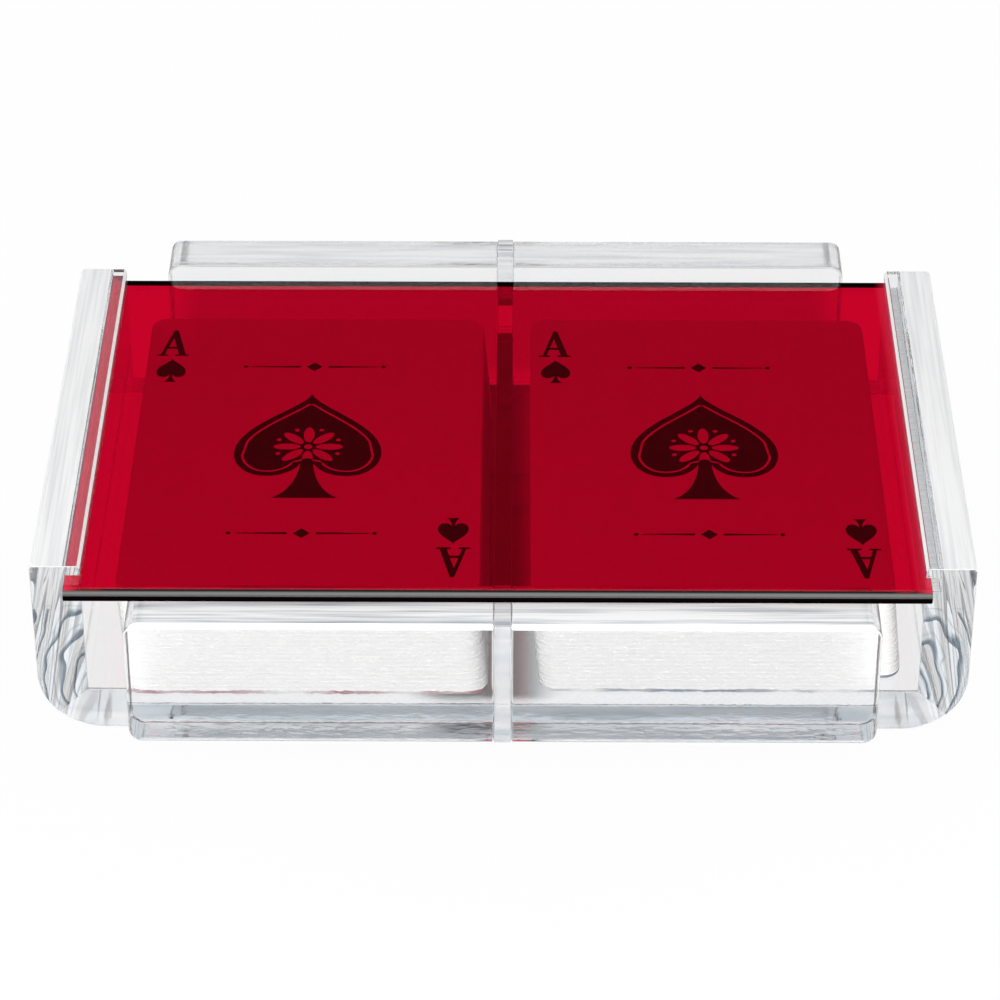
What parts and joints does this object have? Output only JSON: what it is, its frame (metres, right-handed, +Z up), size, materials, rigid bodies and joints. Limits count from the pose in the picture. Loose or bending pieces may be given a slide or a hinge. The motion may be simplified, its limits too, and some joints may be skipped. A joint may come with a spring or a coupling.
{
  "type": "playing card tray",
  "caption": "Clear acrylic tray with side-by-side wells for decks of playing cards, grooved end walls and a red transparent lid that slides out to the front.",
  "frame": {"origin": "on the table, under the middle of the tray's underside", "axes": "+X to the right along the tray's width, +Y to the back, away from the side the lid slides out of, +Z up"},
  "size_m": [0.1624, 0.118, 0.0355],
  "materials": {
    "clear_acrylic": "clear, polished",
    "red_acrylic": "transparent red, polished",
    "card_stock": "coated, smooth",
    "black_ink": "printed, satin"
  },
  "bodies": {
    "tray": {"base_plate": "clear_acrylic", "left_end_wall": "clear_acrylic", "right_end_wall": "clear_acrylic", "centre_divider": "clear_acrylic", "front_left_panel": "clear_acrylic", "front_right_panel": "clear_acrylic", "back_left_panel": "clear_acrylic", "back_right_panel": "clear_acrylic"},
    "lid": {"sliding_lid": "red_acrylic"},
    "left_deck": {"left_hearts": "card_stock", "left_clubs": "card_stock", "left_diamonds": "card_stock", "left_spades": "card_stock", "left_ace_of_spades": "card_stock"},
    "right_deck": {"right_hearts": "card_stock", "right_clubs": "card_stock", "right_diamonds": "card_stock", "right_spades": "card_stock", "right_ace_of_spades": "card_stock"}
  },
  "joints": [
    {"name": "lid_slide", "type": "slide", "parent": "tray", "child": "lid", "axis": [0, -1, 0], "range_m": [0, 0.11]},
    {"name": "left_deck_lift", "type": "slide", "parent": "tray", "child": "left_deck", "axis": [0, 0, 1], "range_m": [0, 0.006]},
    {"name": "right_deck_lift", "type": "slide", "parent": "tray", "child": "right_deck", "axis": [0, 0, 1], "range_m": [0, 0.006]}
  ]
}
